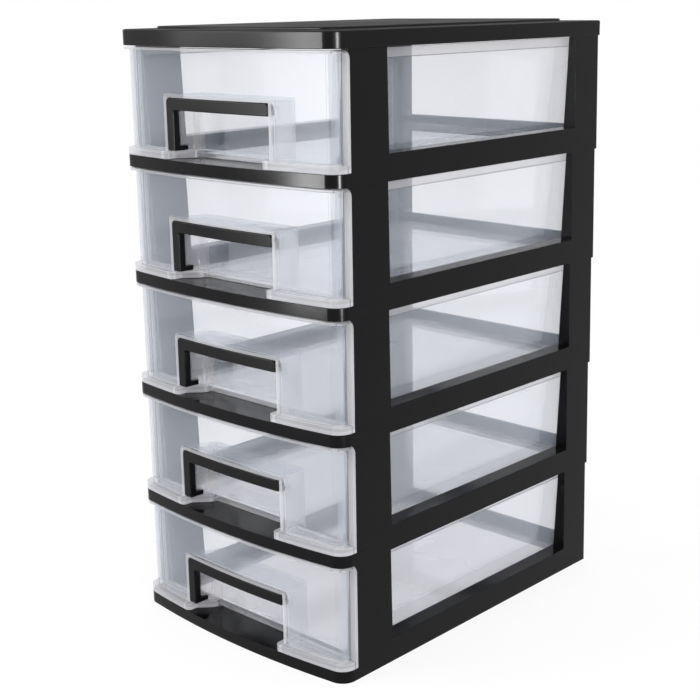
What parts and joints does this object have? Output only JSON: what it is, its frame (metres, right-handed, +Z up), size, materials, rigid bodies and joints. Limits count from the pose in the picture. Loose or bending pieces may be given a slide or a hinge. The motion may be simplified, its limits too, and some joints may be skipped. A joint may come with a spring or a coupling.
{
  "type": "desktop drawer tower",
  "caption": "Narrow desktop drawer tower: stacked black frames with open sides, a flat lid, and milky clear drawers with a finger pocket under an L-shaped black handle.",
  "frame": {"origin": "on the surface the tower stands on, under the middle of its overall box", "axes": "+X to the right of someone facing the drawers, +Y from the front to the back, +Z up; each drawer slides out along -Y"},
  "size_m": [0.165, 0.2314, 0.341],
  "materials": {
    "frame_black": "smooth glossy black injection-moulded plastic",
    "lid_black": "smooth glossy black injection-moulded plastic",
    "handle_black": "smooth black injection-moulded plastic",
    "drawer_clear": "milky translucent moulded plastic, glossy outside"
  },
  "bodies": {
    "tower": {"tier_frame_1": "frame_black", "tier_frame_2": "frame_black", "tier_frame_3": "frame_black", "tier_frame_4": "frame_black", "tier_frame_5": "frame_black", "lid": "lid_black"},
    "drawer_1_body": {"drawer_1": "drawer_clear", "drawer_handle_1": "handle_black"},
    "drawer_2_body": {"drawer_2": "drawer_clear", "drawer_handle_2": "handle_black"},
    "drawer_3_body": {"drawer_3": "drawer_clear", "drawer_handle_3": "handle_black"},
    "drawer_4_body": {"drawer_4": "drawer_clear", "drawer_handle_4": "handle_black"},
    "drawer_5_body": {"drawer_5": "drawer_clear", "drawer_handle_5": "handle_black"}
  },
  "joints": [
    {"name": "drawer_1_slide", "type": "slide", "parent": "tower", "child": "drawer_1_body", "axis": [0, -1, 0], "range_m": [0, 0.15]},
    {"name": "drawer_2_slide", "type": "slide", "parent": "tower", "child": "drawer_2_body", "axis": [0, -1, 0], "range_m": [0, 0.15]},
    {"name": "drawer_3_slide", "type": "slide", "parent": "tower", "child": "drawer_3_body", "axis": [0, -1, 0], "range_m": [0, 0.15]},
    {"name": "drawer_4_slide", "type": "slide", "parent": "tower", "child": "drawer_4_body", "axis": [0, -1, 0], "range_m": [0, 0.15]},
    {"name": "drawer_5_slide", "type": "slide", "parent": "tower", "child": "drawer_5_body", "axis": [0, -1, 0], "range_m": [0, 0.15]}
  ]
}
